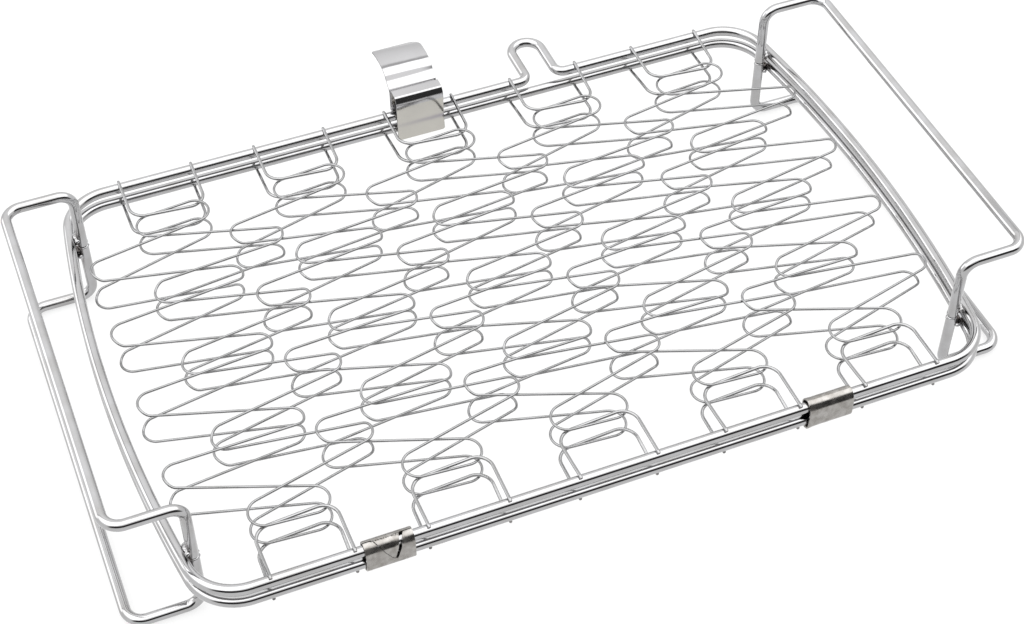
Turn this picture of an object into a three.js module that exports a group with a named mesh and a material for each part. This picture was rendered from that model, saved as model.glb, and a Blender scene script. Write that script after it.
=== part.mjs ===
// A hinged wire grill basket. Two rod frames, each closed by five zigzag spring-wire loops, shut on each
// other like a book: two sheet sleeves hinge the front rails and a snap clip locks the back rails.
// Units are millimetres, +Z is up, +X runs along the long rails and +Y points from the hinge to the latch.
import * as THREE from "three";

// Stock
const ROD_RADIUS = 2.5; // frame and handle rod
const HOOK_WIRE_RADIUS = 0.75;
const SPRING_WIRE_RADIUS = 0.6;
const SHEET = 0.8; // thickness of the hinge sleeves and the latch
const WELD_GAP = 0.25; // left open between pieces that are welded together
const RUNNING_GAP = 0.5; // between pieces that turn on each other

// Frames
const FRAME_DEPTH = 248; // front rail to back rail, between centre lines
const FRAME_LENGTH = 383; // over the crowns of the two bowed ends, between centre lines
const END_RADIUS = 716; // bow of the short ends
const CORNER_RADIUS = 22;
const RAIL_SPACING = 8; // upper rail above lower rail, between centre lines

// Finger loop bent into the upper back rail, between the legs of a hook
const LOOP_COLUMN = 1; // columns to the right of the middle one
const LOOP_WIDTH = 16; // leg to leg
const LOOP_REACH = 29; // out from the rail
const LOOP_FILLET = 5;

// Handles
const HANDLE_REACH = 19.5; // grip bar beyond the crown of the frame's end
const HANDLE_RISE = 29; // grip bar above or below its own frame
const HANDLE_INSET = 27; // legs in from the long rails
const LEG_BEND = 7;
const GRIP_BEND = 8;

// Mesh: loops of spring wire in columns, each stretched between a back and a front hook
const COLUMN_COUNT = 5;
const TURN_LAP = 11; // outer turns reach this far past the line between two columns
const END_CLEARANCE = 10.5; // outermost turns to the crown of the frame's end, between centre lines
const HOOK_WIDTH = 36; // leg to leg
const HOOK_REACH = 26.4; // rail to crossbar
const HOOK_CORNER = 7.5;
const HOOK_TAIL_ANGLE = 25; // degrees that the hook ends wrap past the crest of the rail
const HOOK_LEAD_ANGLE = -10; // degrees where the legs leave the rail
const MESH_RISE = 2; // mesh plane above the rail's centre line
const WEAVE_GAP = 0.2; // between the mesh plane and the wires that cross above and below it
const LAST_ROW = 8; // bends are numbered 0 at the back hook to 8 at the front hook
const TURN_RADIUS = 6.2;
const END_TURN_RADIUS = 7.3; // at the two hooks
const HOOK_GAP = 0.35; // between a hook's crossbar and the loop it holds
const INNER_REACH = 20.5; // column centre to the turns that overlap inside the column
const END_TURN_INSET = 0.5; // turns at the two hooks stop this far inside the hook's legs
const OUTER_PITCH_SHARE = 0.94; // the outer turns are drawn a little together
const UPPER_LEFT_SHIFT = 5.4; // outer turns of the upper mesh, pulled towards the back
const UPPER_RIGHT_SHIFT = -1.2;

// Hinge sleeves on the front rails, each between the hooks of two columns
const SLEEVE_COLUMN = 1.5; // columns out from the middle one
const SLEEVE_SHIFT = -1.8; // both sit a little left of the middle of their space
const SLEEVE_SIDE_GAP = 5.25; // from each end to the nearest hook leg's centre line, before the shift

// Latch on the back rails, between the legs of the middle hook
const LATCH_SHIFT = -0.2;
const LATCH_SIDE_GAP = 5.5; // from each edge to the hook leg's centre line, before the shift
const LATCH_GAP = 0.4; // between the sheet and the rail it clips over
const LATCH_LIP_DROP = 4.8; // lower edge below the lower rail's centre line
const LATCH_LIP_FLARE = 1.1;
const LATCH_HEADROOM = 8.5; // start of the top bend above the upper rail
const LATCH_BEND = 4.1; // radius of the top bend
const LATCH_TURN = 1.35; // radius of the turn behind the rail
const TAB_OUTLINE = [ // thumb tab, out from and above the foot of its riser
  [0.4, 8],
  [4.6, 14.6],
  [12.5, 18],
  [20.5, 18.2],
  [26.6, 15.8],
];

// Facets
const ROD_SIDES = 8;
const WIRE_SIDES = 4;
const CORNER_STEPS = 6;
const END_STEPS = 8;
const LOOP_STEPS = 8;
const FILLET_STEPS = 4;
const BEND_STEPS = 5;
const TURN_STEPS = 5;
const TAIL_STEPS = 3;
const HOOK_CORNER_STEPS = 4;
const SLEEVE_STEPS = 10;
const LATCH_BEND_STEPS = 10;
const TAB_STEPS = 12;
const MITRE_LIMIT = 0.5; // least cosine that a sheet's mitre is stretched by
const ROUND = 2 * Math.PI;
const RIGHT_ANGLE = Math.PI / 2;

// Corners of an eight-sided rod whose flats lie at the rod's true radius.
const ROD_CORNER = ROD_RADIUS / Math.cos(Math.PI / ROD_SIDES);

// Columns fill the frame's length, and what sits between two hooks or inside one is sized from them.
const COLUMN_PITCH = (FRAME_LENGTH / 2 - END_CLEARANCE - TURN_LAP) / (COLUMN_COUNT / 2);
const OUTER_REACH = COLUMN_PITCH / 2 + TURN_LAP;
const END_TURN_REACH = HOOK_WIDTH / 2 - END_TURN_INSET;
const WEAVE = Math.max(SPRING_WIRE_RADIUS, HOOK_WIRE_RADIUS) + WEAVE_GAP;
const LOOP_X = LOOP_COLUMN * COLUMN_PITCH;
const SLEEVE_LENGTH = COLUMN_PITCH - HOOK_WIDTH - 2 * SLEEVE_SIDE_GAP;
const LATCH_WIDTH = HOOK_WIDTH - 2 * LATCH_SIDE_GAP;

const steel = (name, color, roughness) =>
  new THREE.MeshStandardMaterial({ name, color, roughness, metalness: 1 });

const materials = {
  rod: () => steel("polished rod", 0xd6d6d8, 0.14),
  spring: () => steel("spring wire", 0xc6c6ca, 0.2),
  hook: () => steel("hook wire", 0xcacace, 0.2),
  sleeve: () => steel("satin sheet", 0xaeaea6, 0.38),
  latch: () => steel("polished sheet", 0xd2d2d2, 0.12),
};

const namedMesh = (name, geometry, material) => {
  const mesh = new THREE.Mesh(geometry, material);
  mesh.name = name;
  return mesh;
};

// A path that steps through its stations one by one, dense in bends and sparse on straights.
class StationPath extends THREE.Curve {
  constructor(stations) {
    super();
    this.stations = stations;
  }

  get steps() {
    return this.stations.length - 1;
  }

  getPoint(t, target = new THREE.Vector3()) {
    const place = t * this.steps;
    const index = Math.min(Math.floor(place), this.steps - 1);
    return target.lerpVectors(this.stations[index], this.stations[index + 1], place - index);
  }

  getUtoTmapping(u) {
    return u;
  }
}

// A wire bent into a ring. The first station is in the middle of a straight.
const ringGeometry = (stations, radius, sides) => {
  const path = new StationPath([...stations, stations[0]]);
  return new THREE.TubeGeometry(path, path.steps, radius, sides, true);
};

// A rod or wire with two ends, of regular section with flats on its main axes.
const rodGeometry = (stations, radius, sides) => {
  const corners = Array.from({ length: sides }, (_, i) => {
    const angle = ((i + 0.5) / sides) * ROUND;
    return new THREE.Vector2(radius * Math.cos(angle), radius * Math.sin(angle));
  });
  const extrudePath = new StationPath(stations);
  return new THREE.ExtrudeGeometry(new THREE.Shape(corners), {
    steps: extrudePath.steps,
    extrudePath,
  });
};

// Points on an arc, both ends included.
const arc = (x, y, radius, from, to, steps) =>
  Array.from({ length: steps + 1 }, (_, i) => {
    const angle = from + ((to - from) * i) / steps;
    return new THREE.Vector2(x + radius * Math.cos(angle), y + radius * Math.sin(angle));
  });

// ---- Frames ----

const END_CENTRE_X = FRAME_LENGTH / 2 - END_RADIUS;
const CORNER_Y = FRAME_DEPTH / 2 - CORNER_RADIUS;
const CORNER_X = END_CENTRE_X + Math.sqrt((END_RADIUS - CORNER_RADIUS) ** 2 - CORNER_Y ** 2);
const END_ANGLE = Math.atan2(CORNER_Y, CORNER_X - END_CENTRE_X);

// X of the bowed end's centre line at a distance y from the middle.
const endX = (y) => END_CENTRE_X + Math.sqrt(END_RADIUS ** 2 - y ** 2);

// One half turn of the ring: corner, bowed end, corner.
const frameEnd = (side) => {
  const facing = side > 0 ? 0 : Math.PI;
  const front = facing - side * END_ANGLE;
  const back = facing + side * END_ANGLE;
  const frontCorner = arc(
    side * CORNER_X, -CORNER_Y, CORNER_RADIUS, facing - side * RIGHT_ANGLE, front, CORNER_STEPS,
  );
  const end = arc(side * END_CENTRE_X, 0, END_RADIUS, front, back, END_STEPS);
  const backCorner = arc(
    side * CORNER_X, CORNER_Y, CORNER_RADIUS, back, facing + side * RIGHT_ANGLE, CORNER_STEPS,
  );
  return [...frontCorner, ...end.slice(1, -1), ...backCorner];
};

// The finger loop, met while running from +X to -X along the back rail.
const fingerLoop = () => {
  const rail = FRAME_DEPTH / 2;
  const half = LOOP_WIDTH / 2;
  const shoulder = half + LOOP_FILLET;
  return [
    ...arc(LOOP_X + shoulder, rail + LOOP_FILLET, LOOP_FILLET, -RIGHT_ANGLE, -Math.PI, FILLET_STEPS),
    ...arc(LOOP_X, rail + LOOP_REACH - half, half, 0, Math.PI, LOOP_STEPS),
    ...arc(LOOP_X - shoulder, rail + LOOP_FILLET, LOOP_FILLET, 0, -RIGHT_ANGLE, FILLET_STEPS),
  ];
};

const frameGeometry = (withLoop) => {
  const frontMiddle = new THREE.Vector2(0, -FRAME_DEPTH / 2);
  const outline = [
    frontMiddle,
    ...frameEnd(1),
    ...(withLoop ? fingerLoop() : []),
    ...frameEnd(-1).reverse(),
  ];
  const stations = outline.map((p) => new THREE.Vector3(p.x, p.y, 0));
  return ringGeometry(stations, ROD_CORNER, ROD_SIDES);
};

// ---- Handles ----

// A handle: foot, leg and arm on the +Y side, grip bar, and the same on the -Y side.
const handleGeometry = (side) => {
  const legY = FRAME_DEPTH / 2 - HANDLE_INSET;
  const legX = endX(legY) - 2 * ROD_CORNER - WELD_GAP;
  const gripX = FRAME_LENGTH / 2 + HANDLE_REACH;
  const foot = -RAIL_SPACING / 2 + WELD_GAP;
  const legBend = arc(legX + LEG_BEND, HANDLE_RISE - LEG_BEND, LEG_BEND, Math.PI, RIGHT_ANGLE, BEND_STEPS);
  const gripBend = arc(gripX - GRIP_BEND, legY - GRIP_BEND, GRIP_BEND, RIGHT_ANGLE, 0, BEND_STEPS);
  const half = [
    new THREE.Vector3(side * legX, legY, foot),
    ...legBend.map((p) => new THREE.Vector3(side * p.x, legY, p.y)),
    ...gripBend.map((p) => new THREE.Vector3(side * p.x, p.y, HANDLE_RISE)),
  ];
  const mirrored = half.map((p) => new THREE.Vector3(p.x, -p.y, p.z)).reverse();
  return rodGeometry([...half, ...mirrored], ROD_CORNER, ROD_SIDES);
};

// ---- Hooks ----

// A hook for the back rail, whose centre line is at y = 0: tail over the crest, leg, crossbar, leg, tail.
// The crossbar slopes, so that it passes over the loop on the left and under it on the right.
const hookGeometry = () => {
  const crest = ROD_CORNER + HOOK_WIRE_RADIUS + WELD_GAP;
  const half = HOOK_WIDTH / 2;
  const tail = arc(
    0, 0, crest,
    RIGHT_ANGLE - THREE.MathUtils.degToRad(HOOK_TAIL_ANGLE),
    RIGHT_ANGLE - THREE.MathUtils.degToRad(HOOK_LEAD_ANGLE),
    TAIL_STEPS,
  );
  const corner = arc(
    half - HOOK_CORNER, HOOK_CORNER - HOOK_REACH, HOOK_CORNER, 0, -RIGHT_ANGLE, HOOK_CORNER_STEPS,
  );
  const leg = (side) => [
    ...tail.map((p) => new THREE.Vector3(side * half, p.x, p.y)),
    ...corner.map((p) => new THREE.Vector3(side * p.x, p.y, MESH_RISE - side * WEAVE)),
  ];
  return rodGeometry([...leg(-1), ...leg(1).reverse()], HOOK_WIRE_RADIUS, WIRE_SIDES);
};

// ---- Springs ----

const ROWS = Array.from({ length: LAST_ROW + 1 }, (_, row) => row);

// Centre line of a loop where a hook's crossbar holds it.
const HELD_Y = FRAME_DEPTH / 2 - HOOK_REACH + HOOK_WIRE_RADIUS + SPRING_WIRE_RADIUS + HOOK_GAP;

// The turns of one zigzag, in the order the wire meets them: front-wards on the left (side -1) and
// back-wards on the right (side 1). Odd rows turn at the outer side, even rows inside the column.
const zigzag = (side, shift) => {
  const turns = ROWS.map((row) => {
    const outer = row % 2 === 1;
    const atHook = row === 0 || row === LAST_ROW;
    const radius = atHook ? END_TURN_RADIUS : TURN_RADIUS;
    const innerReach = atHook ? END_TURN_REACH : INNER_REACH;
    const rowY = (HELD_Y - END_TURN_RADIUS) * (1 - (2 * row) / LAST_ROW);
    return {
      x: outer ? side * (OUTER_REACH - radius) : -side * (innerReach - radius),
      y: outer ? rowY * OUTER_PITCH_SHARE + shift : rowY,
      radius,
      sense: outer ? 1 : -1, // anticlockwise seen from above, or clockwise
      enters: outer ? WEAVE : -WEAVE,
      leaves: outer ? -WEAVE : WEAVE,
    };
  });
  if (side > 0) turns.reverse();
  turns[0].enters = turns[0].leaves;
  turns.at(-1).leaves = turns.at(-1).enters;
  return turns;
};

// Heading of the straight that leaves turn a and is tangent to turn b.
const headingBetween = (a, b) => {
  const distance = Math.hypot(b.x - a.x, b.y - a.y);
  const across = (a.sense * a.radius - b.sense * b.radius) / distance;
  return Math.atan2(b.y - a.y, b.x - a.x) + Math.asin(across);
};

// A closed loop of wire: straights tangent to each pair of turns. The wire keeps its height round a turn,
// where a neighbour may cross it, and changes it over the turn's last step.
const springGeometry = (leftShift, rightShift) => {
  const turns = [...zigzag(-1, leftShift), ...zigzag(1, rightShift)];
  const stations = turns.flatMap((turn, index) => {
    const headingIn = headingBetween(turns.at(index - 1), turn);
    const headingOut = headingBetween(turn, turns[(index + 1) % turns.length]);
    const swing = THREE.MathUtils.euclideanModulo(turn.sense * (headingOut - headingIn), ROUND);
    const from = headingIn - turn.sense * RIGHT_ANGLE;
    const points = arc(turn.x, turn.y, turn.radius, from, from + turn.sense * swing, TURN_STEPS);
    return points.map((p, i) => {
      const z = i < TURN_STEPS ? turn.enters : turn.leaves;
      return new THREE.Vector3(p.x, p.y, z);
    });
  });
  const middleOfBackSide = new THREE.Vector3().lerpVectors(stations.at(-1), stations[0], 0.5);
  return ringGeometry([middleOfBackSide, ...stations], SPRING_WIRE_RADIUS, WIRE_SIDES);
};

// ---- Hinge sleeves ----

// Outline of a slot shape round both rails, in Y and Z.
const roundBothRails = (radius) => [
  ...arc(0, RAIL_SPACING / 2, radius, 0, Math.PI, SLEEVE_STEPS),
  ...arc(0, -RAIL_SPACING / 2, radius, Math.PI, ROUND, SLEEVE_STEPS),
];

// Extrudes an outline drawn in Y and Z along X, centred on its width.
const extrudeAlongX = (shape, width) => {
  const solid = new THREE.ExtrudeGeometry(shape, { depth: width, bevelEnabled: false });
  solid.translate(0, 0, -width / 2);
  solid.rotateX(RIGHT_ANGLE);
  solid.rotateZ(RIGHT_ANGLE);
  return solid;
};

// Sheet rolled round both rails, with its seam closed up.
const sleeveGeometry = () => {
  const inside = ROD_CORNER + RUNNING_GAP;
  const section = new THREE.Shape(roundBothRails(inside + SHEET));
  section.holes.push(new THREE.Path(roundBothRails(inside)));
  return extrudeAlongX(section, SLEEVE_LENGTH);
};

// ---- Latch ----

// Middle line of the latch's sheet, as (out from the rails, up from the upper rail): lip, inner wall, top
// bend, outer wall pinched in towards the rail, a tight turn, riser and thumb tab.
const latchLine = () => {
  const wall = ROD_CORNER + LATCH_GAP + SHEET / 2;
  const outerTop = 2 * LATCH_BEND - wall;
  const turnX = wall + LATCH_TURN;
  const riser = turnX + LATCH_TURN;
  const tab = new THREE.SplineCurve(
    TAB_OUTLINE.map(([out, up]) => new THREE.Vector2(riser + out, up)),
  );
  return [
    new THREE.Vector2(-wall - LATCH_LIP_FLARE, -RAIL_SPACING - LATCH_LIP_DROP),
    new THREE.Vector2(-wall, -RAIL_SPACING / 2),
    ...arc(outerTop - LATCH_BEND, LATCH_HEADROOM, LATCH_BEND, Math.PI, 0, LATCH_BEND_STEPS),
    ...arc(turnX, 0, LATCH_TURN, Math.PI, ROUND, BEND_STEPS),
    ...tab.getPoints(TAB_STEPS),
  ];
};

// Closed outline of a strip of sheet that follows a middle line.
const stripOutline = (line, thickness) => {
  const sides = [1, -1].map((side) =>
    line.map((point, i) => {
      const before = line[Math.max(i - 1, 0)];
      const after = line[Math.min(i + 1, line.length - 1)];
      const into = new THREE.Vector2().subVectors(point, before).normalize();
      const out = new THREE.Vector2().subVectors(after, point).normalize();
      const tangent = new THREE.Vector2().addVectors(into, out).normalize();
      const stretch = Math.max(tangent.dot(i ? into : out), MITRE_LIMIT);
      const mitre = (side * thickness) / 2 / stretch;
      return new THREE.Vector2(point.x - tangent.y * mitre, point.y + tangent.x * mitre);
    }),
  );
  return new THREE.Shape([...sides[0], ...sides[1].reverse()]);
};

const latchGeometry = () => extrudeAlongX(stripOutline(latchLine(), SHEET), LATCH_WIDTH);

// ---- Assembly ----

const COLUMNS = Array.from({ length: COLUMN_COUNT }, (_, i) => ({
  number: i + 1,
  x: (i - (COLUMN_COUNT - 1) / 2) * COLUMN_PITCH,
}));

// Hooks and springs of one half, in that half's own frame, whose mesh lies on top of its rails.
const meshPieces = (half, backName, frontName, leftShift, rightShift) =>
  COLUMNS.flatMap(({ number, x }) => {
    const backHook = namedMesh(`${half}_${backName}_hook_${number}`, hookGeometry(), materials.hook());
    backHook.position.set(x, FRAME_DEPTH / 2, 0);
    const frontHook = namedMesh(`${half}_${frontName}_hook_${number}`, hookGeometry(), materials.hook());
    frontHook.position.set(x, -FRAME_DEPTH / 2, 0);
    frontHook.rotation.z = Math.PI;
    const spring = namedMesh(
      `${half}_spring_${number}`, springGeometry(leftShift, rightShift), materials.spring(),
    );
    spring.position.set(x, 0, MESH_RISE);
    return [backHook, frontHook, spring];
  });

const rodPieces = (half, withLoop) => [
  namedMesh(`${half}_frame`, frameGeometry(withLoop), materials.rod()),
  namedMesh(`${half}_handle_left`, handleGeometry(-1), materials.rod()),
  namedMesh(`${half}_handle_right`, handleGeometry(1), materials.rod()),
];

const upperHalf = () => {
  const half = new THREE.Group();
  half.add(
    ...rodPieces("upper", true),
    ...meshPieces("upper", "back", "front", UPPER_LEFT_SHIFT, UPPER_RIGHT_SHIFT),
  );
  half.position.z = RAIL_SPACING / 2;
  return half;
};

// The lower half is made like the upper one and turned over, so its front and back change places.
const lowerHalf = () => {
  const half = new THREE.Group();
  half.add(
    ...rodPieces("lower", false),
    ...meshPieces("lower", "front", "back", 0, 0),
  );
  half.position.z = -RAIL_SPACING / 2;
  half.rotation.x = Math.PI;
  return half;
};

const hingeSleeve = (name, column) => {
  const sleeve = namedMesh(name, sleeveGeometry(), materials.sleeve());
  sleeve.position.set(column * COLUMN_PITCH + SLEEVE_SHIFT, -FRAME_DEPTH / 2, 0);
  return sleeve;
};

const latch = () => {
  const clip = namedMesh("latch_clip", latchGeometry(), materials.latch());
  clip.position.set(LATCH_SHIFT, FRAME_DEPTH / 2, RAIL_SPACING / 2);
  return clip;
};

// The origin is the middle of the box round the basket, at the level that it stands on.
const grillBasket = () => {
  const assembly = new THREE.Group();
  assembly.add(
    upperHalf(),
    lowerHalf(),
    hingeSleeve("hinge_clip_left", -SLEEVE_COLUMN),
    hingeSleeve("hinge_clip_right", SLEEVE_COLUMN),
    latch(),
  );
  const box = new THREE.Box3().setFromObject(assembly, true);
  const centre = box.getCenter(new THREE.Vector3());
  assembly.position.set(-centre.x, -centre.y, -box.min.z);
  const basket = new THREE.Group();
  basket.name = "grill_basket";
  basket.add(assembly);
  return basket;
};

export default grillBasket();
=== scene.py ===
"""Looks of the hinged wire grill basket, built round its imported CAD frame.

Every piece is made here in metres, in the frame's own coordinates: +Z up, +X along the long rails and +Y from
the hinge to the latch. Each CAD node is replaced by one finer piece of the same size in the same place.
"""

import bisect
import math
import random

import bpy
from mathutils import Matrix, Vector, noise


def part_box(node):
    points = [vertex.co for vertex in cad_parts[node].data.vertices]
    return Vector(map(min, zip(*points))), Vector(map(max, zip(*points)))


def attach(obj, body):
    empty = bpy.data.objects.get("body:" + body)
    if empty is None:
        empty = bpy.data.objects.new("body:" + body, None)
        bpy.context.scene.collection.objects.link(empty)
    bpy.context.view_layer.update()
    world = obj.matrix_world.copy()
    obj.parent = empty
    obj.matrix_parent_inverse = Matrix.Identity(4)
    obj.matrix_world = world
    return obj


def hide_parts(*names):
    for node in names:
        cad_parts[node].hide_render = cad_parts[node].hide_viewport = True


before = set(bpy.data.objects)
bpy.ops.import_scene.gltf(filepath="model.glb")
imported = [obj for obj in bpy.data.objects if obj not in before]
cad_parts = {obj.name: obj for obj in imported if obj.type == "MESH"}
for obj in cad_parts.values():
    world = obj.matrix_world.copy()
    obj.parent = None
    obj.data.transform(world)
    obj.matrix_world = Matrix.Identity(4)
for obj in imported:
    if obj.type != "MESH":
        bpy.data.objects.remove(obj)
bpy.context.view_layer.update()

MM = 0.001

# Stock
ROD_RADIUS = 2.5 * MM
HOOK_WIRE_RADIUS = 0.75 * MM
SPRING_WIRE_RADIUS = 0.6 * MM
SHEET = 0.8 * MM

# Bends of the frames, the finger loop and the handles
END_RADIUS = 716 * MM
CORNER_RADIUS = 22 * MM
LOOP_WIDTH = 16 * MM
LOOP_FILLET = 5 * MM
LEG_BEND = 7 * MM
GRIP_BEND = 8 * MM

# Handle feet: burnt steel, and lumps of weld metal as (out, along, up) from the foot, then half sizes, in mm.
# Lumps at the contact lie between the leg and the frame rod. The last one lies on the leg's end.
HANDLE_END_ROUNDING = 0.7 * MM
BURN_REACH = 3.3 * MM
BURN_SPAN = 3 * MM
BURN_FADE = 1.6 * MM
BURN_RAGGED = 0.9 * MM
CONTACT = 1.05 * ROD_RADIUS
WELD_LUMPS = (
    (CONTACT / MM - 0.2, 2.0, 1.2, (1.3, 1.6, 1.0)),
    (CONTACT / MM - 0.2, -2.0, 1.2, (1.3, 1.5, 1.1)),
    (CONTACT / MM, 0, 1.9, (1.2, 2.2, 0.9)),
    (CONTACT / MM, 0.3, -1.8, (1.3, 2.0, 1.0)),
    (-1.2, 0.3, -2.6, (1.6, 1.7, 0.9)),
)
LUMP_UNEVENNESS = 0.22
LUMP_GRAIN = 1.7

# Hooks
HOOK_WIDTH = 36 * MM
HOOK_REACH = 26.4 * MM
HOOK_CORNER = 7.5 * MM
HOOK_TAIL_ANGLE = math.radians(25)
HOOK_LEAD_ANGLE = math.radians(-10)
HOOK_RAMP_SHARE = 0.3
HOOK_LEAN = 0.35 * MM
HOOK_END_ROUNDING = 0.2 * MM
TIP_BURN_REACH = 0.9 * MM
TIP_BURN = 1.15
MESH_RISE = 2 * MM
WEAVE = 0.95 * MM

# Springs
LAST_ROW = 8
TURN_RADIUS = 6.2 * MM
END_TURN_RADIUS = 7.3 * MM
OUTER_REACH = 45 * MM
INNER_REACH = 20.5 * MM
END_TURN_REACH = 17.5 * MM
OUTER_PITCH_SHARE = 0.94
HELD_GAP = 0.35 * MM
UPPER_SHIFTS = (5.4 * MM, -1.2 * MM)
LOWER_SHIFTS = (0, 0)
TURN_WANDER = 0.55 * MM
RADIUS_WANDER = 0.3 * MM
HEIGHT_CHANGE = 0.4

# Hinge sleeves
SLEEVE_CLEARANCE = 0.5 * MM
SLEEVE_FACET = 1.5 * MM
SLEEVE_FACET_TILT = math.radians(37)
SEAM_GAP = 0.4 * MM
SEAM_ANGLE = math.radians(25)
TONGUE_LEFT = 8.6 * MM
TONGUE_RIGHT = 3.6 * MM
TONGUE_TIP_SHIFT = 1.6 * MM
TONGUE_PAST_MIDDLE = 2.6 * MM
NOTCH_LEFT = 0.45 * MM
NOTCH_RIGHT = 0.5 * MM
NOTCH_SHIFT = 1.0 * MM
NOTCH_DEEPER = 0.35 * MM
TONGUE_ROUND_FROM = 0.8
TONGUE_ROUNDING = 0.07
FLARE_LENGTH = 5 * MM
FLARE_TOP_SHARE = 0.4
RIGHT_SLEEVE_OPENING = 0.7 * MM
EDGE_ROUNDING = 0.35 * MM
EDGE_THICKNESS_SHARE = 0.72
SLEEVE_SHARP_ANGLE = 50

# Latch
LATCH_GAP = 0.4 * MM
LATCH_LIP_DROP = 4.8 * MM
LATCH_LIP_FLARE = 1.1 * MM
LATCH_HEADROOM = 8.5 * MM
LATCH_BEND = 4.1 * MM
LATCH_TURN = 1.35 * MM
LATCH_CREASE = 2.2 * MM
# Width of the painted shade along the crease above the latch's lip
CREASE_SHADE_WIDTH = 1.3 * MM
LATCH_CORNER = 0.22 * MM
LATCH_CUT_EDGE = 0.1 * MM
LATCH_END_CORNER = 0.8 * MM
LATCH_STEP = 0.7 * MM
LATCH_SHARP_ANGLE = 60
LATCH_FACET_BENDS = (1.2 * MM, 1.0 * MM, 1.6 * MM)
LATCH_FACET = 2.3 * MM
LATCH_FACET_TILT = math.radians(37)
TAB_FOOT = 6.5 * MM
TAB_END = Vector((26.6, 15.8)) * MM
TAB_CORNER = 5.5 * MM
TAB_PARTS = 90
# The tab's lean from upright in degrees, at distances along it in mm
TAB_TILTS = ((0, 2), (3.1, 6), (4.9, 48), (5.6, 54), (8.8, 51), (9.8, 42.4), (11.2, 42.4), (12.4, 56),
             (14.8, 78), (15.8, 81.5), (18.2, 83.5), (19.2, 88), (25, 98), (31.8, 110))

# Fineness
ROD_SIDES = 28
WIRE_SIDES = 14
BEND_STEPS = 16
END_STEPS = 40
END_ROWS = 5
RAIL_STEP = 16 * MM
SPRING_SIDES = 12
BEAD_RINGS = 9
BEAD_SIDES = 14
SLEEVE_COLUMNS = 80
SLEEVE_ROWS = 110

# Camera, fitted to the basket
CAMERA_PLACE = Vector((-230.854, -591.622, 683.239)) * MM
CAMERA_AZIMUTH = math.radians(-21.889)
CAMERA_ELEVATION = math.radians(47.161)
CAMERA_ROLL = math.radians(-0.093)
CAMERA_LENS = 67.70
SENSOR_WIDTH = 36
NEAR_CLIP = 0.01

# Studio
FLOOR_HALF = 4.0
FLOOR_GREY = (0.18, 0.18, 0.18, 1)
FLOOR_GLOW = 0.76
WHITE = (1, 1, 1, 1)
TENT_LIGHT = (1.05, 1.5)
BOX_LIGHT = 2.7
RIM_LIGHT = 0.7
BAND_LIGHT = 0.05
SIDE_LAMP = Vector((-0.73, 0.63, 0.27)).normalized()
SIDE_LAMP_EDGE = (0.94, 0.975)

# Borders of the studio's lights, each from where a light is out to where it is full, along +Y or +Z
SKY_SPAN = (0.0, 0.8)
BOX_BACK = (0.53, 0.48)
BOX_FRONT = (-0.62, -0.50)
BOX_FOOT = (0.45, 0.60)
RIM_BACK = (0.57, 0.54)
RIM_FRONT = (0.46, 0.50)
OPENING_BACK = (-0.35, -0.60)
OPENING_FOOT = (-0.06, 0.10)
OPENING_TOP = (0.66, 0.58)

RIGHT_ANGLE = math.pi / 2
HALF_TURN = Matrix.Rotation(math.pi, 4, "Z")
TURNED_OVER = Matrix.Rotation(math.pi, 4, "X")


# ---- Where things are ----

def middle(node):
    low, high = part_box(node)
    return (low + high) / 2


LOWER_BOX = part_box("lower_frame")
UPPER_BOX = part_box("upper_frame")
ROD_CORNER = (LOWER_BOX[1].z - LOWER_BOX[0].z) / 2
RAIL_Z = {"upper": middle("upper_frame").z, "lower": middle("lower_frame").z}
FRONT_Y = LOWER_BOX[0].y + ROD_CORNER
BACK_Y = LOWER_BOX[1].y - ROD_CORNER
MIDDLE_Y = (FRONT_Y + BACK_Y) / 2
HALF_DEPTH = (BACK_Y - FRONT_Y) / 2
CROWN_X = LOWER_BOX[1].x - ROD_CORNER
RAIL_SPACING = RAIL_Z["upper"] - RAIL_Z["lower"]
LOOP_REACH = UPPER_BOX[1].y - LOWER_BOX[1].y
COLUMN_X = [middle(f"upper_back_hook_{i + 1}").x for i in range(5)]
LOOP_X = COLUMN_X[3]


# ---- Paths ----

def arc(x, y, radius, start, end, steps):
    """Points on an arc, both ends included."""
    angles = [start + (end - start) * i / steps for i in range(steps + 1)]
    return [Vector((x + radius * math.cos(a), y + radius * math.sin(a))) for a in angles]


def divided(points, step, closed=False):
    """The same line with its long straights divided."""
    pairs = list(zip(points, points[1:] + points[:1] if closed else points[1:]))
    made = []
    for a, b in pairs:
        count = max(1, math.ceil((b - a).length / step))
        made += [a.lerp(b, i / count) for i in range(count)]
    return made if closed else made + [points[-1]]


def catmull(points, steps):
    """A smooth line through every point."""
    made = []
    for i in range(len(points) - 1):
        a, b = points[i], points[i + 1]
        before = points[i - 1] if i else a
        after = points[i + 2] if i + 2 < len(points) else b
        for k in range(steps):
            t = k / steps
            v0, v1 = (b - before) / 2, (after - a) / 2
            cubic = (2 * a - 2 * b + v0 + v1) * t ** 3
            made.append(cubic + (3 * b - 3 * a - 2 * v0 - v1) * t * t + v0 * t + a)
    return made + [points[-1]]


def tangents(stations, closed):
    count = len(stations)
    made = []
    for i in range(count):
        before = stations[(i - 1) % count if closed else max(i - 1, 0)]
        after = stations[(i + 1) % count if closed else min(i + 1, count - 1)]
        into = (stations[i] - before).normalized()
        out = (after - stations[i]).normalized()
        made.append((into + out).normalized())
    return made


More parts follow.
